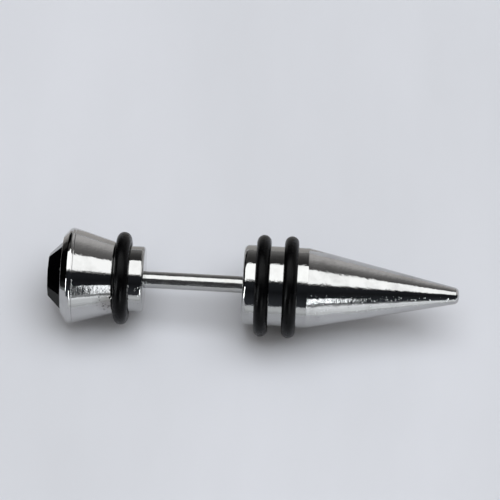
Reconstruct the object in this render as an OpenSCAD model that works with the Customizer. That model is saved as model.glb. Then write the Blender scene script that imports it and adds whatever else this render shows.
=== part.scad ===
// Fake gauge ear stud: a stone-set steel head and a steel spike on one thin post, with rubber rings.
// All lengths are millimetres. Lengths along the stud start at the stone's table and grow towards
// the tip, and the finished stud lies at rest on a flat surface at z = 0.

/* [Post] */
// Diameter of the post that goes through the ear
post_d = 1.2; // [1.0:0.1:1.2]
// Length of post left bare between the head and the spike
wear_length = 7.0; // [6:0.5:10]
// Diameter of the post's two thinner ends
end_d = 0.88; // [0.8:0.01:0.88]
// Length of the thinner end that is pressed into the head
press_length = 1.8; // [1:0.1:2]
// Length of the threaded end that goes into the spike
thread_length = 3.2; // [2:0.1:4]

/* [Stone] */
// Diameter of the stone at its girdle
stone_d = 4.8; // [4.4:0.1:4.8]
// Distance across the table, from corner to corner
table_d = 3.05; // [2.6:0.05:3.2]
// Number of facets round the crown
facets = 8; // [8:2:12]
// Height of the crown, from the table to the girdle
crown_h = 1.1; // [1:0.05:1.2]
// Height of the girdle band below the crown
girdle_h = 0.15; // [0.1:0.05:0.2]
// Depth of the pointed back
pavilion_h = 1.3; // [1:0.1:1.4]
// Turn of the stone in its seat, in degrees
stone_turn = 22.5; // [0:0.5:45]

/* [Head] */
// Largest diameter of the head, at its rim
rim_d = 6.82; // [6.6:0.02:7]
// Distance from the table to the rim's widest place
rim_at = 1.7; // [1.6:0.05:1.8]
// Slope of the bevel in front of the rim, in degrees from the stud's length
bevel_angle = 44; // [40:1:48]
// Slope of the taper behind the rim, in degrees from the stud's length
taper_angle = 16.2; // [14:0.1:18]
// How far the stone's table stands out of the lip
table_proud = 1.0; // [0.9:0.05:1.05]
// Diameter of the collar behind the rubber ring
collar_d = 4.68; // [4.4:0.02:4.8]
// Distance from the table to the collar's end face
head_length = 6.8; // [6.6:0.1:7.2]

/* [Spike] */
// Diameter of the spike's straight part
spike_d = 5.7; // [5.4:0.1:6]
// Length of the straight part
barrel_length = 4.6; // [4.4:0.1:5.5]
// Length of the cone
cone_length = 10.5; // [8:0.5:14]
// Diameter of the cone's small end
tip_d = 1.16; // [0.8:0.02:1.6]
// Height of the dome on the small end
tip_dome_h = 0.27; // [0.1:0.01:0.3]
// Rounding of the spike's front edge
front_round = 0.35; // [0.2:0.05:0.4]

/* [Rubber rings] */
// Thickness of the head's ring
head_ring_t = 1.04; // [0.9:0.02:1.1]
// Outer diameter of the head's ring
head_ring_d = 6.6; // [6.4:0.1:6.7]
// Distance from the table to the middle of the head's ring
head_ring_at = 5.24; // [5.1:0.02:5.3]
// Thickness of the spike's rings
spike_ring_t = 1.02; // [0.9:0.02:1.1]
// Outer diameter of the spike's rings
spike_ring_d = 7.24; // [7.1:0.02:7.4]
// Distance from the spike's front to the middle of its first ring
first_ring_at = 1.38; // [1.2:0.02:1.5]
// Distance between the middles of the spike's two rings
ring_pitch = 1.97; // [1.6:0.01:2.1]

/* [Fits] */
// Gap between a rubber ring and the steel under it
ring_gap = 0.02; // [0.01:0.01:0.05]
// Gap between the stone and its seat
stone_gap = 0.03; // [0.02:0.01:0.05]
// Radial play of the threaded end in the spike's bore
thread_play = 0.09; // [0.05:0.01:0.1]
// Gap round the end that is pressed into the head
press_gap = 0.01; // [0.01:0.01:0.03]
// How far the full post enters the shallow recess at each end
recess = 0.07; // [0.05:0.01:0.15]
// Gap round and under the post in those recesses
recess_gap = 0.02; // [0.01:0.01:0.05]

/* [Hidden] */
$fn = 96;
STEEL = "silver";
RUBBER = [0.06, 0.06, 0.07];
BLACK_GLASS = [0.02, 0.02, 0.03];

// Steps in each rounded corner, and a length that carries a cut clear of a face
ROUND_STEPS = 6;
PAST = 0.5;
// The seams of the turned and moulded pieces stand this far off the line that the stud lies on
HEAD_SEAM = 3.103;
RING_SEAM = 3;

// Places along the stud
girdle_at = crown_h + girdle_h;
spike_at = head_length + wear_length;
cone_at = spike_at + barrel_length;
tip_at = cone_at + cone_length;
stud_length = tip_at + tip_dome_h;

// Roundings of the turned edges
rim_round = 0.34;
lip_round = 0.08;
collar_round = 0.12;
shoulder_round = 0.25;
post_edge = 0.12;

// The stone's crown widens at this rate below the table, measured at its corners
crown_spread = 1.0;
// Point angle of the drill that makes the blind holes
drill_point = 118;
drill_depth_past = 0.3;

// A turned profile is a table of corners: [distance along the stud, radius, rounding of the corner]
function place(corner) = [corner[0], corner[1]];
function unit(v) = v / norm(v);

// Centre of a corner's rounding, from the corner and its two neighbours
function round_centre(before, at, after, r) =
    let (
        a = unit(before - at),
        b = unit(after - at),
        half = acos(a * b) / 2
    )
    at + unit(a + b) * r / sin(half);

// Points of one corner: the corner itself, or the arc that rounds it
function corner_points(before, at, after, r) =
    r == 0 ? [at] :
    let (
        centre = round_centre(before, at, after, r),
        a = unit(before - at),
        b = unit(after - at),
        reach = norm(centre - at) * cos(acos(a * b) / 2),
        start = at + a * reach - centre,
        end = at + b * reach - centre,
        sweep = atan2(cross(start, end), start * end),
        first = atan2(start[1], start[0])
    )
    [for (i = [0:ROUND_STEPS]) centre + r * [
        cos(first + sweep * i / ROUND_STEPS),
        sin(first + sweep * i / ROUND_STEPS)
    ]];

// Neighbours of corner i in a closed table of corners
function before(corners, i) = place(corners[(i + len(corners) - 1) % len(corners)]);
function after(corners, i) = place(corners[(i + 1) % len(corners)]);

function outline(corners) = [
    for (i = [0:len(corners) - 1])
        each corner_points(before(corners, i), place(corners[i]), after(corners, i), corners[i][2])
];

// The dome on the tip is an arc through the cone's small end and the stud's end
dome_r = (pow(tip_d / 2, 2) + pow(tip_dome_h, 2)) / (2 * tip_dome_h);
dome_half = asin(tip_d / 2 / dome_r);
dome = [
    for (i = [1:ROUND_STEPS])
        let (a = dome_half * (1 - i / ROUND_STEPS))
        [stud_length - dome_r + dome_r * cos(a), dome_r * sin(a), 0]
];

// The rim is a rounded corner whose bevel and taper both touch the rounding
rim_centre = [rim_at, rim_d / 2 - rim_round];
rim_lean = (bevel_angle - taper_angle) / 2;
rim_corner = rim_centre
    + rim_round / cos((bevel_angle + taper_angle) / 2) * [-sin(rim_lean), cos(rim_lean)];
lip_r = rim_corner[1] - (rim_corner[0] - table_proud) * tan(bevel_angle);
taper_end = rim_corner[0] + (rim_corner[1] - collar_d / 2) / tan(taper_angle);

head_corners = [
    [table_proud, 0, 0],
    [table_proud, lip_r, lip_round],
    [rim_corner[0], rim_corner[1], rim_round],
    [taper_end, collar_d / 2, 0],
    [head_length, collar_d / 2, collar_round],
    [head_length, 0, 0]
];

spike_corners = concat(
    [
        [spike_at, 0, 0],
        [spike_at, spike_d / 2, front_round],
        [cone_at, spike_d / 2, shoulder_round],
        [tip_at, tip_d / 2, 0]
    ],
    dome
);

// The stud lies on the rim's rounding and on the front ring of the spike
ring_centre = [spike_at + first_ring_at, (spike_ring_d - spike_ring_t) / 2];
span = ring_centre - rim_centre;
rest_tilt = atan2(span[1], span[0]) + asin((spike_ring_t / 2 - rim_round) / norm(span));
rest_height = rim_centre[1] * cos(rest_tilt) + rim_round - rim_centre[0] * sin(rest_tilt);
// At rest the table's upper edge leans out past its middle
rest_middle = (stud_length * cos(rest_tilt) - table_d / 2 * sin(rest_tilt)) / 2;

// Draws in the stud's own frame, with its length along X, as it lies at rest
module at_rest() {
    translate([-rest_middle, 0, rest_height])
        rotate([0, -rest_tilt, 0])
            rotate([0, 90, 0])
                children();
}

// A solid turned from a table of corners
module turned(corners, seam = 0) {
    rotate([0, 0, seam])
        rotate_extrude()
            polygon([for (p = outline(corners)) [p[1], p[0]]]);
}

// A rubber ring, or with a gap the groove that holds it
module ring(at, outer_d, thickness, gap = 0) {
    translate([0, 0, at])
        rotate([0, 0, RING_SEAM])
            rotate_extrude()
                translate([(outer_d - thickness) / 2, 0])
                    circle(r = thickness / 2 + gap);
}

// A round rod or hole from one place along the stud to another
module rod(from, to, r) {
    translate([0, 0, from])
        cylinder(r = r, h = to - from);
}

// Crown, girdle and pointed back of the stone
module stone_shape() {
    table_r = table_d / 2;
    crown_r = table_r + crown_spread * crown_h;
    rotate([0, 0, stone_turn])
        intersection() {
            union() {
                cylinder(r1 = table_r, r2 = crown_r, h = crown_h, $fn = facets);
                rod(crown_h, girdle_at, crown_r);
                translate([0, 0, girdle_at])
                    cylinder(r1 = stone_d / 2 / cos(180 / facets), r2 = 0, h = pavilion_h, $fn = facets);
            }
            rod(0, girdle_at + pavilion_h, stone_d / 2);
        }
}

// Round seat for the stone: a straight wall down to where the corners of the pointed back leave
// the girdle, and behind it a drilled cone with their slope
module stone_seat() {
    seat_r = stone_d / 2 + stone_gap;
    corner_share = cos(180 / facets);
    wall_end = girdle_at + pavilion_h * (1 - corner_share) + stone_gap;
    turned([
        [table_proud - PAST, 0, 0],
        [table_proud - PAST, seat_r, 0],
        [wall_end, seat_r, 0],
        [wall_end + pavilion_h * corner_share * seat_r / (stone_d / 2), 0, 0]
    ]);
}

// The blind hole in the head for the pressed end, with a shallow recess for the full post
module press_hole() {
    hole_end = head_length - press_length - press_gap;
    recess_end = head_length - recess - recess_gap;
    turned([
        [hole_end, 0, 0],
        [hole_end, end_d / 2 + press_gap, 0],
        [recess_end, end_d / 2 + press_gap, 0],
        [recess_end, post_d / 2 + recess_gap, 0],
        [head_length + PAST, post_d / 2 + recess_gap, 0],
        [head_length + PAST, 0, 0]
    ]);
}

module head() {
    color(STEEL)
        at_rest()
            difference() {
                turned(head_corners, HEAD_SEAM);
                stone_seat();
                ring(head_ring_at, head_ring_d, head_ring_t, ring_gap);
                press_hole();
            }
}

module stone() {
    color(BLACK_GLASS)
        at_rest()
            stone_shape();
}

module head_o_ring() {
    color(RUBBER)
        at_rest()
            ring(head_ring_at, head_ring_d, head_ring_t);
}

// The full post stands between the two faces; its thinner ends go into the head and the spike
module post() {
    thread_end = spike_at + thread_length;
    color(STEEL)
        at_rest()
            turned([
                [head_length - press_length, 0, 0],
                [head_length - press_length, end_d / 2, 0],
                [head_length - recess, end_d / 2, 0],
                [head_length - recess, post_d / 2, 0],
                [spike_at + recess, post_d / 2, 0],
                [spike_at + recess, end_d / 2, 0],
                [thread_end - post_edge, end_d / 2, 0],
                [thread_end, end_d / 2 - post_edge, 0],
                [thread_end, 0, 0]
            ]);
}

// The blind hole in the spike, with a drilled point and a recess for the full post
module spike_bore() {
    bore_r = end_d / 2 + thread_play;
    bore_end = spike_at + thread_length + drill_depth_past;
    recess_end = spike_at + recess + recess_gap;
    turned([
        [spike_at - PAST, 0, 0],
        [spike_at - PAST, post_d / 2 + 2 * recess_gap, 0],
        [recess_end, post_d / 2 + 2 * recess_gap, 0],
        [recess_end, bore_r, 0],
        [bore_end, bore_r, 0],
        [bore_end + bore_r / tan(drill_point / 2), 0, 0]
    ]);
}

module spike() {
    color(STEEL)
        at_rest()
            difference() {
                turned(spike_corners);
                spike_bore();
                spike_ring(0, ring_gap);
                spike_ring(1, ring_gap);
            }
}

// One of the spike's two rings, counted from the front
module spike_ring(index, gap = 0) {
    ring(spike_at + first_ring_at + index * ring_pitch, spike_ring_d, spike_ring_t, gap);
}

module spike_o_ring_front() {
    color(RUBBER)
        at_rest()
            spike_ring(0);
}

module spike_o_ring_back() {
    color(RUBBER)
        at_rest()
            spike_ring(1);
}

head();
stone();
head_o_ring();
post();
spike();
spike_o_ring_front();
spike_o_ring_back();
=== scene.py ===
"""Fake gauge ear stud on a pale sheet: turned steel head and spike, black stone, rubber rings."""
import math

import bmesh
import bpy
from mathutils import Matrix, Vector


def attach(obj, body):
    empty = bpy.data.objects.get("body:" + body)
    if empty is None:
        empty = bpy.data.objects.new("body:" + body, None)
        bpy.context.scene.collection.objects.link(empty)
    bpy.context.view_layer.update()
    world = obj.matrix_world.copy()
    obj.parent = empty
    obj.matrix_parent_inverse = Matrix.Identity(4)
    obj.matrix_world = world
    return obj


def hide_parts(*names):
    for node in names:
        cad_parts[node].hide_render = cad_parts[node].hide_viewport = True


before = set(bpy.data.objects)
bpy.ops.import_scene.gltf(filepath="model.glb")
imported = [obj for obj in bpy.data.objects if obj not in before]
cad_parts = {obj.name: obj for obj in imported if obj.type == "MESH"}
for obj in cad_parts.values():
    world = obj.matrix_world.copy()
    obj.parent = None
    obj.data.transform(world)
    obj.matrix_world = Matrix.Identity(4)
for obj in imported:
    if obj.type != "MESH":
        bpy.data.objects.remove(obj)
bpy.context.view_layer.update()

# Lengths are in millimetres, and MM makes them metres. A place along the stud is measured from the
# stone's table towards the tip.
MM = 0.001

# How the stud lies: its axis rises towards the tip. REST_HEIGHT is the height of the axis at the
# table, and AXIS_HEIGHT is its height at the middle.
REST_TILT = math.radians(0.892606)
REST_HEIGHT = 3.38314
REST_MIDDLE = 14.5714
AXIS_HEIGHT = REST_HEIGHT + REST_MIDDLE * math.sin(REST_TILT)

# Stone and its seat in the head. FACET_SHARE is how far from the axis the middle of a facet is, as a
# share of how far its corners are.
GIRDLE_AT = 1.25
PAVILION = 1.3
FACET_SHARE = math.cos(math.radians(22.5))
STONE_GAP = 0.03
SEAT_R = 2.4 + STONE_GAP

# Head. RIM_CORNER is where the bevel and the taper would meet.
LIP_AT = 1.0
LIP_R = 2.8667
RIM_CORNER = (1.60559, 3.45149)
TAPER_END = 5.43135
COLLAR_R = 2.34
COLLAR_ROUND = 0.22
HEAD_END = 6.8
HEAD_MOUTH_PLAY = 0.02
HEAD_MOUTH_CHAMFER = 0.04
# The rim's narrow land and the fine seam behind it: (along, radius, rounding)
RIM_LAND = [
    (1.45, 3.36, 0.2),
    (1.66, 3.422, 0.2),
    (1.82, 3.3772, 0.02),
    (1.85, 3.345, 0.01),
    (1.885, 3.3702, 0.02),
]

# Post and its two thinner ends
POST_R = 0.6
END_R = 0.44
PRESS_START = 5.0
PRESS_PLAY = 0.01
RECESS = 0.07
THREAD_END = 17.0
THREAD_PITCH = 0.25
THREAD_DEPTH = 0.075
STEPS_PER_TURN = 10
THREAD_POINT = 0.12

# Spike
SPIKE_AT = 13.8
SPIKE_R = 2.85
FRONT_ROUND = 0.35
SHOULDER_ROUND = 0.12
CONE_AT = 18.4
TIP_AT = 28.9
TIP_R = 0.58
TIP_DOME = 0.27
# The dome's corner before it is rounded, as shares of its height and of the tip's radius
DOME_CORNER = (0.7, 0.8)
DOME_ROUND = 0.3
DOME_EDGE_ROUND = 0.05
# The bore, and how far it and its own thread go past the post's thread
BORE_R = 0.53
BORE_PAST_THREAD = 0.3
BORE_THREAD_PAST = 0.2
DRILL_POINT = math.radians(118)
SPIKE_MOUTH_PLAY = 0.04
SPIKE_MOUTH_CHAMFER = (0.05, 0.06)

# Rubber rings: place of the middle, radius of the centre line, radius of the cord
HEAD_RING = (5.24, 2.78, 0.52)
FRONT_RING = (15.18, 3.11, 0.51)
BACK_RING = (17.15, 3.11, 0.51)
RING_GAP = 0.02
# The fine line that the mould leaves round a ring: its height, and half its width in degrees
FLASH = (0.006, 5)

# How near to each other points become one, and the angle from which an edge is sharp
WELD = 0.001
SHARP_FROM = math.radians(50)

# Where the post's thread and the bore's own thread start and end
POST_THREAD = (SPIKE_AT + RECESS, THREAD_END - THREAD_POINT / 2)
BORE_THREAD = (SPIKE_AT + RECESS + RING_GAP, THREAD_END + BORE_THREAD_PAST)

# How uneven each way of making leaves a surface: how deep the waves are, and how long
TURNED = {"uneven": 0.006, "wave": 0.9}
DRAWN = {"uneven": 0.002, "wave": 0.9}
MOULDED = {"uneven": 0.012, "wave": 1.6}

# Colours
STEEL_TONE = (0.42, 0.42, 0.415)
STEEL_PALE = (0.5, 0.498, 0.495)
STEEL_STAIN = (0.33, 0.325, 0.32)
POST_STAIN = (0.34, 0.33, 0.3)
# Painted shade: the scuff's tone stands partly for the head ring's shade beside it, and the next tone is
# painted into the middles of the scuff's dents
SCUFF_AND_SHADE_TONE = (0.3, 0.29, 0.28)
DENT_SHADE_TONE = (0.03, 0.03, 0.03)
RUBBER_TONE = (0.0008, 0.0008, 0.001)
RUBBER_WORN = (0.004, 0.004, 0.0042)
DUST_TONE = (0.06, 0.06, 0.06)
GLASS_TONE = (0.0006, 0.0006, 0.0008)
GLASS_SMEAR = (0.0016, 0.0015, 0.0018)
# The sheet's two tones are painted shade and painted light along its waves
SHEET_WAVE_SHADE = (0.655, 0.67, 0.70)
SHEET_WAVE_LIGHT = (0.70, 0.715, 0.75)

# The steel's marks, in millimetres from the sheet under the stud's middle: the scuff's place and its reach,
# within which its tone also paints the head ring's shade and the dents' middles are painted dark as shade,
# and the places between which the paler steel and the small round dents set in
HEAD_SCUFF = ((-9.9, -2.3, 4.2), 1.3)
HEAD_PALE = (-9.2, -9.6)
HEAD_DOTS = (-9.0, -8.8)
CONE_START = (3.7, 3.9)

# The tints of what lights the stud, and of what shows in the steel
LIGHT_TINT = (0.97, 1.0, 1.05)
OVERHEAD_TINT = Vector((0.985, 1.0, 1.0))
LAMP_TINT = Vector((0.93, 0.97, 1.0))
WARM_TINT = Vector((1.0, 0.975, 0.95))
WALL_TINT = Vector((1.0, 0.985, 0.98))
NIGHT_TINT = Vector((0.88, 0.96, 1.12))
DARK_TINT = Vector((0.002, 0.002, 0.002))
HAZE = (0.315, 0.3, 0.287)

# The area light: its brightness, height, and reach from left to right and from front to back
LIGHT = 2.64
LIGHT_HEIGHT = 500
LIGHT_X = (-200, 420)
LIGHT_Y = (-200, 260)

# The walls' brightness is a table of (height, level), where the height is 0 at the horizon and 1
# overhead. Each wall to the right sets in between two shares of the way to the right.
WALL_AHEAD = [(0.0, 0.06), (0.45, 0.03), (0.65, 0.015), (0.9, 0.03)]
WALL_BEHIND = [(0.0, 0.3), (0.25, 0.2), (0.42, 0.11), (0.65, 0.06)]
WALLS_TO_THE_RIGHT = [
    (0.02, 0.2, [(0.0, 0.68), (0.4, 0.64), (0.55, 0.42), (0.77, 0.15)]),
    (0.25, 0.38, [(0.0, 0.33), (0.4, 0.3), (0.6, 0.22), (0.8, 0.15)]),
    (0.55, 0.7, [(0.0, 0.7), (0.9, 0.6)]),
]
AHEAD_TO_BEHIND = (-0.05, 0.15)

# The bright sheets high above: name, radiance and outline
OVERHEAD_HEIGHT = 500
OVERHEAD_SHEETS = [
    ("overhead_sheet_left", 2.35, [(-750, -139), (100, -139), (100, 317), (60, 340), (-750, 375)]),
    ("overhead_sheet_right", 1.85, [(100, -150), (500, -150), (500, 120), (230, 230), (100, 317)]),
]
# Their front edges, as (left, right, place), fade out in bands of (far, near, radiance)
OVERHEAD_EDGES = [(-750, 100, -139), (100, 500, -150)]
FADING = [(22, 0, 0.7), (50, 22, 0.2)]

# The dark card that stands to the left of the head
DARK_CORNERS = [(-36, -12, 0), (-36, 90, 0), (-36, 90, 27), (-36, -12, 27)]

# Cards on a sphere round the stud: name, azimuths, elevations, radiance
PANEL_REACH = 600
PANELS = [
    ("left_lamp", (-65, -56), (0, 30), 11),
    ("right_horizon", (20, 32), (-0.5, 7), 0.38),
    ("low_lamp", (7.5, 16), (1, 22), 10),
]

# Upright cards close in front: name, left to right, low to high, how far the top leans, radiance
UPRIGHT_Y = -50
UPRIGHTS = [
    ("head_lamp_edge", (10.0, 11.2), (11, 36), 5.7, 0.25),
    ("head_lamp", (11.5, 18), (11, 36), 5.7, 2.2),
    ("spike_lamp", (22.9, 25.7), (14, 30), 3.3, 4),
    ("spike_lamp_edge", (25.7, 27), (14, 28), 2.9, 0.6),
]

# Cards over the sheet that paint its light and shade as the steel mirrors it, the lit ones painted light
# and the dim and dark ones painted shade: name, left to right, front to back, tint, radiance
SHEET_CARD_HEIGHT = 0.2
SHEET_CARDS = [
    ("lit_sheet_middle", (4.6, 17), (-300, -36), LAMP_TINT, 1.05),
    ("lit_sheet_corner", (7, 10), (-14, -9), LAMP_TINT, 0.95),
    ("lit_sheet_front", (-14, 4.6), (-13.5, -11), LAMP_TINT, 0.66),
    ("lit_sheet_front", (-14, 4.6), (-16.5, -13.5), LAMP_TINT, 0.76),
    ("lit_sheet_front", (-14, 4.6), (-60, -16.5), LAMP_TINT, 0.9),
    ("dim_sheet_behind", (-12, 6), (9, 400), WARM_TINT, 0.5),
    ("dim_sheet_left", (-20, -17), (4, 60), WARM_TINT, 0.525),
    ("dim_sheet_left", (-23, -20), (4, 60), WARM_TINT, 0.35),
    ("dim_sheet_left", (-26, -23), (4, 60), WARM_TINT, 0.1875),
    ("dim_sheet_left", (-36, -26), (4, 60), WARM_TINT, 0.0375),
    ("dark_sheet_left", (-36, -28.5), (-8, 4), LAMP_TINT, 0.02),
    ("dark_sheet_left_edge", (-28.5, -26), (-8, 4), LAMP_TINT, 0.25),
    ("dim_sheet_under_stone", (-17.5, -14.8), (-2.1, 2), LAMP_TINT, 0.18),
]
# Painted light: strips of the sheet to the right as the steel mirrors it, brighter the further in front:
# (near, far, left end, radiance)
STRIP_RIGHT = 80
STRIPS = [
    (6.5, 9, 8.5, 0.74),
    (9, 14, 10, 1.1),
    (14, 20, 7, 1.1),
    (20, 30, 10, 1.2),
    (30, 45, 14, 1.3),
    (45, 300, 17, 1.35),
]

# The camera, from the photograph: angles in degrees, distance and target in millimetres, the
# picture's width, its focal length and the stud's place off its middle in pixels
CAMERA_ELEVATION = 58.7
CAMERA_AZIMUTH = 0.5
CAMERA_ROLL = math.radians(3.098)
CAMERA_DISTANCE = 217.57
CAMERA_TARGET = Vector((0, 0, 3.6))
PICTURE_PX = 500
FOCAL_PX = 3065
STUD_RIGHT_PX = 3.78
STUD_DOWN_PX = 35.28
SENSOR_WIDTH = 36


def new_object(name, data):
    """A new object in the scene, at the origin."""
    obj = bpy.data.objects.new(name, data)
    bpy.context.scene.collection.objects.link(obj)
    return obj


def unit(v):
    """The vector made one long."""
    return v / v.length


def rounded(corners, steps=10):
    """Points of a profile whose corners are (along, radius, rounding)."""
    points = []
    for i, (x, r, rounding) in enumerate(corners):
        at = Vector((x, r))
        if rounding == 0:
            points.append(at)
            continue
        a = unit(Vector(corners[i - 1][:2]) - at)
        b = unit(Vector(corners[i + 1][:2]) - at)
        half = a.angle(b) / 2
        centre = at + unit(a + b) * rounding / math.sin(half)
        start = at + a * rounding / math.tan(half) - centre
        end = at + b * rounding / math.tan(half) - centre
        sweep = math.atan2(start.cross(end), start.dot(end))
        for k in range(steps + 1):
            turn = Matrix.Rotation(sweep * k / steps, 2)
            points.append(centre + turn @ start)
    return points


def arc(centre, radius, start, end, steps):
    """Points of an arc from one point's direction to another's, the short way round."""
    centre = Vector(centre)
    a = Vector(start) - centre
    b = Vector(end) - centre
    sweep = math.atan2(a.cross(b), a.dot(b))
    a = unit(a) * radius
    return [centre + Matrix.Rotation(sweep * k / steps, 2) @ a for k in range(steps + 1)]


def filled_in(points, longest, edge=0.02):
    """Adds points to the straight stretches, close to both ends too, so that shading stays even."""
    out = [points[0]]
    for a, b in zip(points, points[1:]):
        gap = (b - a).length
        if gap > 4 * edge:
            step = unit(b - a) * edge
            inner = [a + step]
            count = max(1, math.ceil((gap - 2 * edge) / longest))
            inner += [a + step + (b - a - 2 * step) * k / count for k in range(1, count)]
            inner.append(b - step)
            out += inner
        out.append(b)
    return out


def line_meets_circle(p, q, centre, radius):
    """The two points where the line through p and q meets a circle, nearest to p first."""
    p, q, centre = Vector(p), Vector(q), Vector(centre)
    d = unit(q - p)
    along = (centre - p).dot(d)
    off = (p + d * along - centre).length
    reach = math.sqrt(radius * radius - off * off)
    return p + d * (along - reach), p + d * (along + reach)


def groove(ring, surface_a, surface_b, steps=14):
    """The groove under a ring, cut between two points of the straight line or lines it crosses."""
    at, centre_r, cord_r = ring
    bottom = (at, centre_r - cord_r - RING_GAP)
    centre = (at, centre_r)
    radius = cord_r + RING_GAP
    first = arc(centre, radius, surface_a, bottom, steps)
    return first + arc(centre, radius, bottom, surface_b, steps)[1:]


def head_profile():
    """Seat, lip, bevel, rim, taper, ring groove, collar and the blind hole for the post."""
    wall_end = GIRDLE_AT + PAVILION * (1 - FACET_SHARE) + STONE_GAP
    seat_tip = wall_end + PAVILION * FACET_SHARE * SEAT_R / (SEAT_R - STONE_GAP)
    ring_centre, ring_r = HEAD_RING[:2], HEAD_RING[2] + RING_GAP
    front = line_meets_circle(RIM_CORNER, (TAPER_END, COLLAR_R), ring_centre, ring_r)[0]
    back = line_meets_circle((TAPER_END, COLLAR_R), (HEAD_END, COLLAR_R), ring_centre, ring_r)[1]
    mouth_r = POST_R + HEAD_MOUTH_PLAY
    shoulder = HEAD_END - RECESS - RING_GAP
    before = rounded([
        (seat_tip, 0, 0),
        (wall_end, SEAT_R, 0.02),
        (LIP_AT, SEAT_R, 0.02),
        (LIP_AT, LIP_R, 0.08),
        *RIM_LAND,
        (front[0], front[1], 0),
    ])
    after = rounded([
        (back[0], back[1], 0),
        (HEAD_END, COLLAR_R, COLLAR_ROUND),
        (HEAD_END, mouth_r + HEAD_MOUTH_CHAMFER, 0),
        (HEAD_END - HEAD_MOUTH_CHAMFER, mouth_r, 0),
        (shoulder, mouth_r, 0),
        (shoulder, END_R + PRESS_PLAY, 0),
        (PRESS_START - PRESS_PLAY, END_R + PRESS_PLAY, 0),
        (PRESS_START - PRESS_PLAY, 0, 0),
    ])
    under_ring = groove(HEAD_RING, front, back)[1:-1]
    return filled_in(before, longest=0.12) + under_ring + filled_in(after, longest=0.12)


def thread_steps(length):
    """How many steps a threaded stretch is drawn with."""
    return math.ceil(length / THREAD_PITCH * STEPS_PER_TURN)


def spike_profile():
    """Bore, front face, barrel with its two grooves, cone and domed tip."""
    bore_end = THREAD_END + BORE_PAST_THREAD
    drill_tip = bore_end + BORE_R / math.tan(DRILL_POINT / 2)
    bore_start = SPIKE_AT + RECESS + RING_GAP
    mouth_r = POST_R + SPIKE_MOUTH_PLAY
    chamfer_depth, chamfer_width = SPIKE_MOUTH_CHAMFER
    corner_at, corner_r = DOME_CORNER
    grooves = []
    for ring in (FRONT_RING, BACK_RING):
        a, b = line_meets_circle(
            (SPIKE_AT, SPIKE_R), (CONE_AT, SPIKE_R), ring[:2], ring[2] + RING_GAP)
        grooves.append((a, b, groove(ring, a, b)[1:-1]))
    (front_a, front_b, front_groove), (back_a, back_b, back_groove) = grooves
    mouth = rounded([
        (SPIKE_AT + chamfer_depth, mouth_r, 0),
        (SPIKE_AT, mouth_r + chamfer_width, 0),
        (SPIKE_AT, SPIKE_R, FRONT_ROUND),
        (front_a[0], SPIKE_R, 0),
    ])
    cone = rounded([
        (back_b[0], SPIKE_R, 0),
        (CONE_AT, SPIKE_R, SHOULDER_ROUND),
        (TIP_AT, TIP_R, DOME_EDGE_ROUND),
        (TIP_AT + TIP_DOME * corner_at, TIP_R * corner_r, DOME_ROUND),
        (TIP_AT + TIP_DOME, 0, 0),
    ])
    bottom, top = Vector((bore_end, BORE_R)), Vector((bore_start, BORE_R))
    bore = filled_in([Vector((drill_tip, 0)), bottom], longest=0.2)
    steps = thread_steps(bore_end - bore_start)
    bore += [bottom.lerp(top, k / steps) for k in range(1, steps + 1)]
    bore.append(Vector((bore_start, mouth_r)))
    return (bore + filled_in(mouth, longest=0.15) + front_groove
            + filled_in([front_b, back_a], longest=0.15) + back_groove + filled_in(cone, longest=0.12))


def post_profile():
    """The pressed end, the full post and the threaded end with its chamfered point."""
    thread_start = SPIKE_AT + RECESS
    points = filled_in(rounded([
        (PRESS_START, 0, 0),
        (PRESS_START, END_R, 0.02),
        (HEAD_END - RECESS, END_R, 0.01),
        (HEAD_END - RECESS, POST_R, 0.01),
        (thread_start, POST_R, 0.02),
        (thread_start, END_R, 0),
    ], steps=4), longest=0.12, edge=0.015)
    steps = thread_steps(THREAD_END - thread_start)
    threaded = THREAD_END - THREAD_POINT - thread_start
    points += [Vector((thread_start + threaded * k / steps, END_R)) for k in range(1, steps + 1)]
    return points + [Vector((THREAD_END, END_R - THREAD_POINT)), Vector((THREAD_END, 0))]


def ring_profile(ring):
    """A moulded ring's cord, with the fine flash line that the mould leaves round the outside."""
    at, centre_r, cord_r = ring
    flash, flash_half = FLASH
    steps = 72
    points = []
    for k in range(steps + 1):
        turn = 360 * k / steps - 90
        lift = flash * max(0, 1 - abs(turn - 90) / flash_half)
        r = cord_r + lift - flash
        a = math.radians(turn)
        points.append(Vector((at + r * math.cos(a), centre_r + r * math.sin(a))))
    return points


def helix_share(x, start, end):
    """How much of the thread's depth a place has: none at the ends, and all of it in between."""
    if not start < x < end:
        return 0.0
    return min(1.0, (x - start) / THREAD_PITCH, (end - x) / THREAD_PITCH)


def link(tree, *pairs):
    """Joins each pair of an output and an input."""
    for a, b in pairs:
        tree.links.new(a, b)


def maths(tree, operation, *values):
    """A maths node on sockets or plain numbers, as its output."""
    node = tree.nodes.new("ShaderNodeMath")
    node.operation = operation
    for socket, value in zip(node.inputs, values):
        if isinstance(value, bpy.types.NodeSocket):
            tree.links.new(value, socket)
        else:
            socket.default_value = value
    return node.outputs[0]


def mapped(tree, value, low, high, to_low=0.0, to_high=1.0):
    """The value mapped from the range low to high onto another, and held at its ends."""
    node = tree.nodes.new("ShaderNodeMapRange")
    link(tree, (value, node.inputs["Value"]))
    for key, number in (("From Min", low), ("From Max", high), ("To Min", to_low), ("To Max", to_high)):
        node.inputs[key].default_value = number
    return node.outputs[0]


def mixed(tree, share, a, b):
    """Colour a where the share is 0, and b where it is 1. Each is a colour or a socket."""
    node = tree.nodes.new("ShaderNodeMix")
    node.data_type = "RGBA"
    link(tree, (share, node.inputs["Factor"]))
    for socket, value in ((node.inputs["A"], a), (node.inputs["B"], b)):
        if isinstance(value, bpy.types.NodeSocket):
            link(tree, (value, socket))
        else:
            socket.default_value = (*value, 1.0)
    return node.outputs["Result"]


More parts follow.
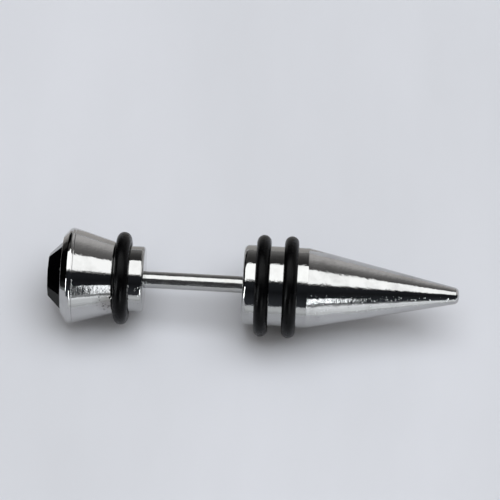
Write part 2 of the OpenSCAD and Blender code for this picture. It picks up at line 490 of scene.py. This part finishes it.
def turning_tree():
    """Turns a profile round the stud's axis. The profile lies in X and Z, and may carry a thread."""
    tree = bpy.data.node_groups.new("turning", "GeometryNodeTree")
    face = tree.interface
    face.new_socket("Profile", in_out="INPUT", socket_type="NodeSocketGeometry")
    for name, kind in (
        ("Segments", "Int"), ("Thread Pitch", "Float"), ("Thread Depth", "Float"),
        ("Unevenness", "Float"), ("Wave Length", "Float"), ("Rest Tilt", "Float"),
        ("Rest Place", "Vector"), ("Finish", "Material"),
    ):
        face.new_socket(name, in_out="INPUT", socket_type="NodeSocket" + kind)
    face.new_socket("Piece", in_out="OUTPUT", socket_type="NodeSocketGeometry")
    new = tree.nodes.new
    given = new("NodeGroupInput").outputs

    # A grid with a row for each point of the profile, and a column for each step round
    size = new("GeometryNodeAttributeDomainSize")
    link(tree, (given["Profile"], size.inputs[0]))
    count = size.outputs["Point Count"]
    last = maths(tree, "SUBTRACT", count, 1.0)
    around = maths(tree, "ADD", given["Segments"], 1.0)
    grid = new("GeometryNodeMeshGrid")
    link(tree, (last, grid.inputs["Size X"]), (given["Segments"], grid.inputs["Size Y"]),
         (count, grid.inputs["Vertices X"]), (around, grid.inputs["Vertices Y"]))
    place = new("ShaderNodeSeparateXYZ")
    link(tree, (new("GeometryNodeInputPosition").outputs[0], place.inputs[0]))
    row = maths(tree, "ROUND", maths(tree, "ADD", place.outputs["X"], maths(tree, "DIVIDE", last, 2.0)))
    share = maths(tree, "ADD", maths(tree, "DIVIDE", place.outputs["Y"], given["Segments"]), 0.5)

    # The profile's point that each row stands for, and the radius there with its thread
    def sampled(kind, field):
        node = new("GeometryNodeSampleIndex")
        node.data_type = kind
        link(tree, (given["Profile"], node.inputs["Geometry"]), (field, node.inputs["Value"]),
             (row, node.inputs["Index"]))
        return node.outputs[0]

    point = new("ShaderNodeSeparateXYZ")
    link(tree, (sampled("FLOAT_VECTOR", new("GeometryNodeInputPosition").outputs[0]), point.inputs[0]))
    named = new("GeometryNodeInputNamedAttribute")
    named.data_type = "FLOAT"
    named.inputs["Name"].default_value = "thread"
    thread = sampled("FLOAT", named.outputs["Attribute"])
    angle = maths(tree, "MULTIPLY", share, math.tau)
    turns = maths(tree, "SUBTRACT", maths(tree, "DIVIDE", point.outputs["X"], given["Thread Pitch"]), share)
    cosine = maths(tree, "COSINE", maths(tree, "MULTIPLY", turns, math.tau))
    wave = maths(tree, "MULTIPLY_ADD", cosine, 0.5, 0.5)
    crest = maths(tree, "MULTIPLY", maths(tree, "MULTIPLY", wave, thread), given["Thread Depth"])
    radius = maths(tree, "ADD", point.outputs["Z"], crest)

    # The grid's points turned round the axis, and uneven everywhere but on it
    def turned(r):
        spot = new("ShaderNodeCombineXYZ")
        back = maths(tree, "MULTIPLY", maths(tree, "MULTIPLY", r, maths(tree, "COSINE", angle)), -1.0)
        link(tree, (point.outputs["X"], spot.inputs["X"]), (back, spot.inputs["Z"]),
             (maths(tree, "MULTIPLY", r, maths(tree, "SINE", angle)), spot.inputs["Y"]))
        return spot.outputs[0]

    noise = new("ShaderNodeTexNoise")
    noise.inputs["Detail"].default_value = 1.0
    noise.inputs["Scale"].default_value = 1.0
    scaled = new("ShaderNodeVectorMath")
    scaled.operation = "SCALE"
    waves = maths(tree, "DIVIDE", 1.0, given["Wave Length"])
    link(tree, (turned(radius), scaled.inputs[0]), (waves, scaled.inputs["Scale"]),
         (scaled.outputs[0], noise.inputs["Vector"]))
    swell = maths(tree, "MULTIPLY", maths(tree, "SUBTRACT", noise.outputs[0], 0.5), given["Unevenness"])
    off_axis = maths(tree, "GREATER_THAN", point.outputs["Z"], WELD * MM)
    final_r = maths(tree, "ADD", radius, maths(tree, "MULTIPLY", swell, off_axis))
    put = new("GeometryNodeSetPosition")
    link(tree, (grid.outputs["Mesh"], put.inputs["Geometry"]), (turned(final_r), put.inputs["Position"]))

    # The seam and the ends welded, the piece laid in its place, and its material
    merge = new("GeometryNodeMergeByDistance")
    merge.inputs["Distance"].default_value = WELD * MM
    lean = new("ShaderNodeCombineXYZ")
    link(tree, (maths(tree, "MULTIPLY", given["Rest Tilt"], -1.0), lean.inputs["Y"]))
    lay = new("GeometryNodeTransform")
    link(tree, (put.outputs[0], merge.inputs["Geometry"]), (merge.outputs[0], lay.inputs["Geometry"]),
         (given["Rest Place"], lay.inputs["Translation"]), (lean.outputs[0], lay.inputs["Rotation"]))
    smooth = new("GeometryNodeSetShadeSmooth")
    realize = new("GeometryNodeRealizeInstances")
    finish = new("GeometryNodeSetMaterial")
    out = new("NodeGroupOutput")
    link(tree, (lay.outputs[0], smooth.inputs["Geometry"]), (smooth.outputs[0], realize.inputs["Geometry"]),
         (realize.outputs[0], finish.inputs["Geometry"]), (given["Finish"], finish.inputs["Material"]),
         (finish.outputs[0], out.inputs["Piece"]))
    return tree


TURNING = turning_tree()


def set_input(modifier, name, value):
    """Sets a modifier's input by the name that its socket has."""
    for item in modifier.node_group.interface.items_tree:
        if item.item_type == "SOCKET" and item.in_out == "INPUT" and item.name == name:
            modifier[item.identifier] = value
            return
    raise KeyError(name)


def plain_mesh(obj):
    """Puts the evaluated mesh in place of the modifiers, with its faces pointing outwards."""
    seen = obj.evaluated_get(bpy.context.evaluated_depsgraph_get())
    mesh = bpy.data.meshes.new_from_object(seen)
    obj.modifiers.clear()
    obj.data = mesh
    bm = bmesh.new()
    bm.from_mesh(mesh)
    bmesh.ops.recalc_face_normals(bm, faces=bm.faces)
    if bm.calc_volume(signed=True) < 0:
        bmesh.ops.reverse_faces(bm, faces=bm.faces)
    bm.to_mesh(mesh)
    bm.free()
    return obj


def turned_piece(name, profile, finish, uneven, wave, segments=256, thread=(0, 0)):
    """One turned or moulded piece in its place, with waves as deep as uneven and as long as wave."""
    mesh = bpy.data.meshes.new(name)
    rows = [(p[0] * MM, 0, p[1] * MM) for p in profile]
    mesh.from_pydata(rows, [(i, i + 1) for i in range(len(rows) - 1)], [])
    # Only what is thinner than the full post carries the thread
    thin = POST_R - 0.01
    shares = [helix_share(p[0], *thread) if p[1] < thin else 0.0 for p in profile]
    mesh.attributes.new("thread", "FLOAT", "POINT").data.foreach_set("value", shares)
    obj = new_object(name, mesh)
    turning = obj.modifiers.new("turning", "NODES")
    turning.node_group = TURNING
    for key, value in {
        "Segments": segments, "Thread Pitch": THREAD_PITCH * MM, "Thread Depth": THREAD_DEPTH * MM,
        "Unevenness": uneven * MM, "Wave Length": wave * MM,
        "Rest Tilt": REST_TILT, "Rest Place": (-REST_MIDDLE * MM, 0.0, REST_HEIGHT * MM), "Finish": finish,
    }.items():
        set_input(turning, key, value)
    plain_mesh(obj)
    obj.data.set_sharp_from_angle(angle=SHARP_FROM)
    return obj


class Finish:
    """A material and short ways to add its nodes."""

    def __init__(self, name, **sockets):
        self.material = bpy.data.materials.new(name)
        self.material.use_nodes = True
        self.tree = self.material.node_tree
        self.surface = self.tree.nodes["Principled BSDF"]
        for key, value in sockets.items():
            self.surface.inputs[key.replace("_", " ")].default_value = value
        self.coordinates = self.tree.nodes.new("ShaderNodeTexCoord").outputs["Object"]

    def axes(self):
        """The object's coordinates along x, y and z."""
        node = self.tree.nodes.new("ShaderNodeSeparateXYZ")
        self.tree.links.new(self.coordinates, node.inputs[0])
        return node.outputs

    def spots(self, scale, turn=(0, 0, 0)):
        """The object's coordinates, stretched and turned."""
        node = self.tree.nodes.new("ShaderNodeMapping")
        node.inputs["Scale"].default_value = scale
        node.inputs["Rotation"].default_value = turn
        self.tree.links.new(self.coordinates, node.inputs["Vector"])
        return node.outputs[0]

    def noise(self, scale, detail=2.0, rough=0.5, where=None):
        """Cloudy noise, on the object's coordinates or on those given."""
        node = self.tree.nodes.new("ShaderNodeTexNoise")
        node.inputs["Scale"].default_value = scale
        node.inputs["Detail"].default_value = detail
        node.inputs["Roughness"].default_value = rough
        self.tree.links.new(where or self.coordinates, node.inputs["Vector"])
        return node.outputs[0]

    def cells(self, scale):
        """How far it is to the nearest of many scattered points, as a share of their spacing."""
        node = self.tree.nodes.new("ShaderNodeTexVoronoi")
        node.inputs["Scale"].default_value = scale
        self.tree.links.new(self.coordinates, node.inputs["Vector"])
        return node.outputs["Distance"]

    def bowls(self, scale, reach):
        """Small round dents, 0 in the middle of each and 1 from their edges on."""
        share = self.spread(self.cells(scale), 0.0, reach)
        return self.times(share, share)

    def spread(self, value, low, high, to_low=0.0, to_high=1.0):
        """The value mapped onto another range."""
        return mapped(self.tree, value, low, high, to_low, to_high)

    def mixed(self, share, a, b):
        """One colour laid over another by its share."""
        return mixed(self.tree, share, a, b)

    def times(self, a, b):
        """The product of two values."""
        return maths(self.tree, "MULTIPLY", a, b)

    def plus(self, a, b):
        """The sum of two values."""
        return maths(self.tree, "ADD", a, b)

    def either(self, share, value):
        """The value where the share is 1, and 1 where the share is 0."""
        return self.plus(self.times(share, value), maths(self.tree, "SUBTRACT", 1.0, share))

    def near(self, place, reach):
        """1 at a place given in millimetres, falling to 0 at its reach."""
        node = self.tree.nodes.new("ShaderNodeVectorMath")
        node.operation = "DISTANCE"
        node.inputs[1].default_value = [v * MM for v in place]
        self.tree.links.new(self.coordinates, node.inputs[0])
        return self.spread(node.outputs["Value"], reach * MM, 0.4 * reach * MM)

    def beyond(self, low, high):
        """Rises from 0 to 1 between two places along the stud, in millimetres from its middle."""
        return self.spread(self.axes()["X"], low * MM, high * MM)

    def lower_front(self):
        """1 on the side that faces forwards and down, as the stud lies, and 0 above it."""
        lean, soft = 1.1, 0.15
        x, y, z = self.axes()
        level = maths(self.tree, "MULTIPLY_ADD", x, -math.tan(REST_TILT), z)
        leaning = maths(self.tree, "MULTIPLY_ADD", y, lean, level)
        return self.spread(leaning, (AXIS_HEIGHT + soft) * MM, (AXIS_HEIGHT - soft) * MM)

    def colour(self, value):
        """Gives the surface its colour."""
        self.tree.links.new(value, self.surface.inputs["Base Color"])

    def roughness(self, value):
        """Gives the surface its roughness."""
        self.tree.links.new(value, self.surface.inputs["Roughness"])

    def relief(self, *layers):
        """Bump layers, each a height from 0 to 1 and how deep it is in millimetres."""
        normal = None
        for height, depth in layers:
            node = self.tree.nodes.new("ShaderNodeBump")
            node.inputs["Distance"].default_value = depth * MM
            self.tree.links.new(height, node.inputs["Height"])
            if normal:
                self.tree.links.new(normal, node.inputs["Normal"])
            normal = node.outputs[0]
        self.tree.links.new(normal, self.surface.inputs["Normal"])


def steel_tone(finish, stain, pale, scuff):
    """Grey, with stained patches, a paler stretch, and the scuff darkened partly as painted shade of the
    head ring beside it, with painted shade in the middles of its dents.
    """
    tone = STEEL_TONE
    if pale:
        tone = finish.mixed(finish.beyond(*pale), tone, STEEL_PALE)
    stained = finish.noise(scale=420, detail=4.0, rough=0.6)
    tone = finish.mixed(finish.spread(stained, low=0.5, high=0.72, to_high=0.55), tone, stain)
    if scuff:
        # Painted shade: the scuff's darker tone stands partly for the head ring's shade beside it, and the
        # middles of its dents are painted near black for their dark reflections
        scuff_and_shade = finish.near(*scuff)
        dent_shade = finish.spread(finish.cells(scale=3900), low=0.32, high=0.18)
        tone = finish.mixed(scuff_and_shade, tone, SCUFF_AND_SHADE_TONE)
        tone = finish.mixed(finish.times(scuff_and_shade, dent_shade), tone, DENT_SHADE_TONE)
    return tone


def steel_relief(finish, pits, marks, scuff, dots):
    """Turning marks, hairline scratches, swells, grain and pits, then the scuff's and the round dents."""
    lying = (0, REST_TILT, 0)
    across = finish.spots(scale=(900, 9000, 2600), turn=(0.5, 0.3, 0.9))
    rings = finish.noise(scale=1.0, detail=3.0, rough=0.6, where=finish.spots((16000, 700, 700), lying))
    hairlines = finish.noise(scale=1.0, detail=2.0, rough=0.5, where=across)
    swells = finish.noise(scale=1900, detail=2.0)
    grain = finish.noise(scale=3700, detail=3.0, rough=0.6)
    patches = finish.spread(finish.noise(scale=900, detail=3.0), low=0.36, high=0.58)
    pit = finish.spread(finish.cells(scale=4600), low=0.04, high=0.34)
    sparse = finish.spread(finish.noise(scale=3300, detail=2.0), low=0.5, high=0.6)
    speck = finish.spread(finish.cells(scale=6800), low=0.02, high=0.26)
    layers = [
        (rings, 0.0016 * marks),
        (hairlines, 0.0012 * marks),
        (swells, 0.009 * marks),
        (grain, 0.009 * marks),
        (finish.either(patches, pit), 0.004 * pits),
        (finish.either(sparse, speck), 0.004 * pits),
    ]
    if scuff:
        dents = finish.spread(finish.cells(scale=3900), low=0.1, high=0.42)
        layers.append((finish.either(finish.near(*scuff), dents), 0.02))
    if dots:
        place = finish.times(finish.beyond(*dots), finish.lower_front())
        clusters = finish.spread(finish.noise(scale=600, detail=2.0), low=0.4, high=0.5)
        crowded = finish.times(place, clusters)
        layers.append((finish.either(place, finish.bowls(scale=3300, reach=0.2)), 0.0095))
        layers.append((finish.either(crowded, finish.bowls(scale=5200, reach=0.17)), 0.006))
    finish.relief(*layers)


def steel(name, pits, marks, dull=1.0, metallic=1.0, stain=STEEL_STAIN, pale=None, scuff=None, dots=None):
    """Polished steel. Pits, marks and dull scale its wear, and the last three say where its marks are."""
    finish = Finish(name, Metallic=metallic)
    finish.colour(steel_tone(finish, stain, pale, scuff))
    smears = finish.noise(scale=1500, detail=4.0, rough=0.6)
    finish.roughness(finish.spread(smears, low=0.35, high=0.7, to_low=0.025 * dull, to_high=0.075 * dull))
    steel_relief(finish, pits, marks, scuff, dots)
    return finish.material


def rubber(name):
    """Matt black moulded rubber with a faint grain and grey dust."""
    finish = Finish(name, Metallic=0.0, IOR=1.4, Specular_IOR_Level=0.12)
    dust = finish.spread(finish.cells(scale=2600), low=0.06, high=0.02)
    wear = finish.spread(finish.noise(scale=900, detail=4.0, rough=0.6), low=0.52, high=0.75, to_high=0.25)
    dark = finish.mixed(wear, RUBBER_TONE, RUBBER_WORN)
    finish.colour(finish.mixed(finish.times(dust, 0.3), dark, DUST_TONE))
    skin = finish.noise(scale=2400, detail=3.0)
    finish.roughness(finish.spread(skin, low=0.3, high=0.7, to_low=0.24, to_high=0.36))
    grain = finish.noise(scale=9000, detail=3.0, rough=0.6)
    finish.relief((grain, 0.004), (finish.noise(scale=1400, detail=2.0), 0.004))
    return finish.material


def black_glass(name):
    """Opaque black glass, polished, with faint smears."""
    finish = Finish(name, Metallic=0.0, IOR=1.36)
    smear = finish.spread(finish.noise(scale=700, detail=3.0), low=0.4, high=0.75)
    finish.colour(finish.mixed(smear, GLASS_TONE, GLASS_SMEAR))
    touched = finish.noise(scale=2600, detail=3.0)
    finish.roughness(finish.spread(touched, low=0.4, high=0.8, to_low=0.01, to_high=0.05))
    finish.relief((finish.noise(scale=1900, detail=1.0), 0.0002))
    return finish.material


def pale_sheet(name):
    """The pale sheet under the stud, with soft drawn-out waves, and painted shade and light in bands along
    them.
    """
    finish = Finish(name, Roughness=0.5, Specular_IOR_Level=0.12)
    soft = finish.noise(scale=34, detail=4.0, rough=0.55, where=finish.spots((1.6, 0.5, 1)))
    fine = finish.noise(scale=260, detail=4.0, rough=0.6, where=finish.spots((1.0, 0.35, 1)))
    # Painted shade and light: the sheet is darker and lighter in bands that follow the same waves as its
    # relief
    finish.colour(finish.mixed(finish.spread(soft, low=0.35, high=0.65), SHEET_WAVE_SHADE, SHEET_WAVE_LIGHT))
    finish.relief((soft, 0.25), (fine, 0.012))
    return finish.material


def faceted_stone(glass):
    """The stone's facets as they are in the frame, with their edges just broken."""
    weld, broken_width = 0.002, 0.014
    flat_within, edge_from = math.radians(0.6), math.radians(12)
    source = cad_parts["stone"].data
    bm = bmesh.new()
    bm.from_mesh(source)
    bmesh.ops.remove_doubles(bm, verts=bm.verts, dist=weld * MM)
    bmesh.ops.dissolve_limit(bm, angle_limit=flat_within, verts=bm.verts, edges=bm.edges)
    bmesh.ops.recalc_face_normals(bm, faces=bm.faces)
    mesh = bpy.data.meshes.new("faceted_stone")
    bm.to_mesh(mesh)
    bm.free()
    mesh.materials.append(glass)
    obj = new_object("faceted_stone", mesh)
    edges = obj.modifiers.new("broken edges", "BEVEL")
    edges.width = broken_width * MM
    edges.segments = 2
    edges.limit_method = "ANGLE"
    edges.angle_limit = edge_from
    return plain_mesh(obj)


def dress(piece, body, node):
    """Gives a finished piece its place in the stud."""
    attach(piece, body)
    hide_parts(node)


def sheet_of_paper():
    """The pale surface that the stud lies on."""
    mesh = bpy.data.meshes.new("pale_sheet")
    half = 0.6
    corners = [(-half, -half, 0), (half, -half, 0), (half, half, 0), (-half, half, 0)]
    mesh.from_pydata(corners, [], [(0, 1, 2, 3)])
    mesh.materials.append(pale_sheet("pale_sheet"))
    new_object("pale_sheet", mesh)


def card(name, corners, radiance):
    """A flat card round the stud that only shows in its reflections. Corners are in millimetres."""
    mesh = bpy.data.meshes.new(name)
    mesh.from_pydata([tuple(v * MM for v in c) for c in corners], [], [tuple(range(len(corners)))])
    material = bpy.data.materials.new(name)
    material.use_nodes = True
    nodes = material.node_tree.nodes
    nodes.clear()
    glow = nodes.new("ShaderNodeEmission")
    glow.inputs["Color"].default_value = (*radiance, 1)
    out = nodes.new("ShaderNodeOutputMaterial")
    material.node_tree.links.new(glow.outputs[0], out.inputs[0])
    mesh.materials.append(material)
    obj = new_object(name, mesh)
    obj.visible_camera = False
    obj.visible_shadow = False
    obj.visible_diffuse = False


def direction(azimuth, elevation):
    """Unit vector: azimuth from straight in front towards the tip's side, elevation above the sheet."""
    a, e = math.radians(azimuth), math.radians(elevation)
    return Vector((math.sin(a) * math.cos(e), -math.cos(a) * math.cos(e), math.sin(e)))


def panel(name, azimuths, elevations, radiance):
    """A card that spans a range of azimuths and of elevations, seen from the stud."""
    left, right = azimuths
    low, high = elevations
    spans = ((left, low), (right, low), (right, high), (left, high))
    card(name, [direction(a, e) * PANEL_REACH for a, e in spans], radiance)


def upright(name, x_range, z_range, lean, radiance):
    """A small upright card close in front of the stud, seen from only part of it. Its top leans aside."""
    (left, right), (low, high) = x_range, z_range
    spans = ((left, low), (right, low), (right + lean, high), (left + lean, high))
    card(name, [(x, UPRIGHT_Y, z) for x, z in spans], radiance)


def level_card(name, x_range, y_range, height, radiance):
    """A level rectangle at a height above the sheet."""
    (left, right), (front, back) = x_range, y_range
    spans = ((left, front), (right, front), (right, back), (left, back))
    card(name, [(x, y, height) for x, y in spans], radiance)


def studio_cards():
    """The cards that the steel mirrors, besides the walls and the sheet itself."""
    for name, radiance, outline in OVERHEAD_SHEETS:
        card(name, [(x, y, OVERHEAD_HEIGHT) for x, y in outline], OVERHEAD_TINT * radiance)
    for left, right, edge in OVERHEAD_EDGES:
        for far, near, radiance in FADING:
            level_card("overhead_fringe", (left, right), (edge - far, edge - near), OVERHEAD_HEIGHT,
                       OVERHEAD_TINT * radiance)
    card("dark_card_left", DARK_CORNERS, DARK_TINT)
    for name, azimuths, elevations, radiance in PANELS:
        panel(name, azimuths, elevations, LAMP_TINT * radiance)
    for name, x_range, z_range, lean, radiance in UPRIGHTS:
        upright(name, x_range, z_range, lean, LAMP_TINT * radiance)
    for near, far, left, radiance in STRIPS:
        level_card("lit_sheet_%d" % near, (left, STRIP_RIGHT + far), (-far, -near), SHEET_CARD_HEIGHT,
                   LAMP_TINT * radiance)
    for name, x_range, y_range, tint, radiance in SHEET_CARDS:
        level_card(name, x_range, y_range, SHEET_CARD_HEIGHT, tint * radiance)


def overhead_light():
    """The wide soft light above, which lights the sheet and shows in no reflection."""
    (left, right), (front, back) = LIGHT_X, LIGHT_Y
    data = bpy.data.lights.new("overhead_light", "AREA")
    data.shape = "RECTANGLE"
    data.size = (right - left) * MM
    data.size_y = (back - front) * MM
    data.energy = LIGHT * math.pi * data.size * data.size_y
    data.color = LIGHT_TINT
    obj = new_object("overhead_light", data)
    obj.location = Vector(((left + right) / 2, (front + back) / 2, LIGHT_HEIGHT)) * MM
    obj.visible_glossy = False


def studio_world():
    """Plain walls for the steel to mirror, dark in front and grey behind. The sheet sees a warm haze."""
    world = bpy.data.worlds.new("studio")
    bpy.context.scene.world = world
    world.use_nodes = True
    tree = world.node_tree
    tree.nodes.clear()
    new = tree.nodes.new
    look = new("ShaderNodeSeparateXYZ")
    tree.links.new(new("ShaderNodeTexCoord").outputs["Generated"], look.inputs[0])

    def ramp(value, stops, tint=WALL_TINT):
        node = new("ShaderNodeValToRGB")
        tree.links.new(value, node.inputs[0])
        ramp_points = node.color_ramp.elements
        while len(ramp_points) < len(stops):
            ramp_points.new(0.5)
        for point, (at, level) in zip(ramp_points, stops):
            point.position = at
            point.color = (*(tint * level), 1)
        return node.outputs[0]

    x, y, height = look.outputs
    behind = ramp(height, WALL_BEHIND)
    for low, high, levels in WALLS_TO_THE_RIGHT:
        behind = mixed(tree, mapped(tree, x, low, high), behind, ramp(height, levels))
    ahead = ramp(height, WALL_AHEAD, NIGHT_TINT)
    around = mixed(tree, mapped(tree, y, *AHEAD_TO_BEHIND), ahead, behind)
    rays = new("ShaderNodeLightPath").outputs
    hazy = mixed(tree, rays["Is Diffuse Ray"], around, HAZE)
    background = new("ShaderNodeBackground")
    out = new("ShaderNodeOutputWorld")
    tree.links.new(hazy, background.inputs["Color"])
    tree.links.new(background.outputs[0], out.inputs[0])


def photo_camera():
    """Camera at the photograph's angle. The stud's middle sits a little below the picture's middle."""
    back = direction(CAMERA_AZIMUTH, CAMERA_ELEVATION)
    right = unit(Vector((-back.y, back.x, 0)))
    up = back.cross(right)
    right, up = (
        math.cos(CAMERA_ROLL) * right + math.sin(CAMERA_ROLL) * up,
        math.cos(CAMERA_ROLL) * up - math.sin(CAMERA_ROLL) * right,
    )
    data = bpy.data.cameras.new("camera")
    data.sensor_width = SENSOR_WIDTH
    data.lens = SENSOR_WIDTH * FOCAL_PX / PICTURE_PX
    data.clip_start, data.clip_end = 0.01, 10
    camera = new_object("camera", data)
    place = CAMERA_TARGET + back * CAMERA_DISTANCE
    off_middle = (up * STUD_DOWN_PX - right * STUD_RIGHT_PX) * CAMERA_DISTANCE / FOCAL_PX
    back = unit(place - CAMERA_TARGET - off_middle)
    right = unit(up.cross(back))
    up = back.cross(right)
    turn = Matrix((right, up, back)).transposed().to_4x4()
    camera.matrix_world = Matrix.Translation(place * MM) @ turn
    bpy.context.scene.camera = camera


head_steel = steel(
    "polished_steel_head", pits=0.3, marks=0.5, pale=HEAD_PALE, scuff=HEAD_SCUFF, dots=HEAD_DOTS)
spike_steel = steel("polished_steel_spike", pits=0.3, marks=0.9, pale=CONE_START, dots=CONE_START)
post_steel = steel("polished_steel_post", pits=0.4, marks=0.8, dull=3.0, metallic=0.92, stain=POST_STAIN)
black_rubber = rubber("black_rubber_ring")
stone_glass = black_glass("black_stone_glass")

head = turned_piece("steel_head", head_profile(), head_steel, **TURNED)
dress(head, "stud", "head")
dress(faceted_stone(stone_glass), "stud", "stone")
head_ring = turned_piece("head_ring", ring_profile(HEAD_RING), black_rubber, segments=192, **MOULDED)
dress(head_ring, "stud", "head_o_ring")
post = turned_piece("threaded_post", post_profile(), post_steel, segments=96, thread=POST_THREAD, **DRAWN)
dress(post, "stud", "post")
spike = turned_piece("steel_spike", spike_profile(), spike_steel, thread=BORE_THREAD, **TURNED)
dress(spike, "spike", "spike")
for name, ring, node in (
    ("front_ring", FRONT_RING, "spike_o_ring_front"),
    ("back_ring", BACK_RING, "spike_o_ring_back"),
):
    spike_ring = turned_piece(name, ring_profile(ring), black_rubber, segments=192, **MOULDED)
    dress(spike_ring, "spike", node)

sheet_of_paper()
overhead_light()
studio_cards()
studio_world()
photo_camera()
bpy.context.scene.view_settings.view_transform = "Standard"
bpy.context.scene.view_settings.look = "None"
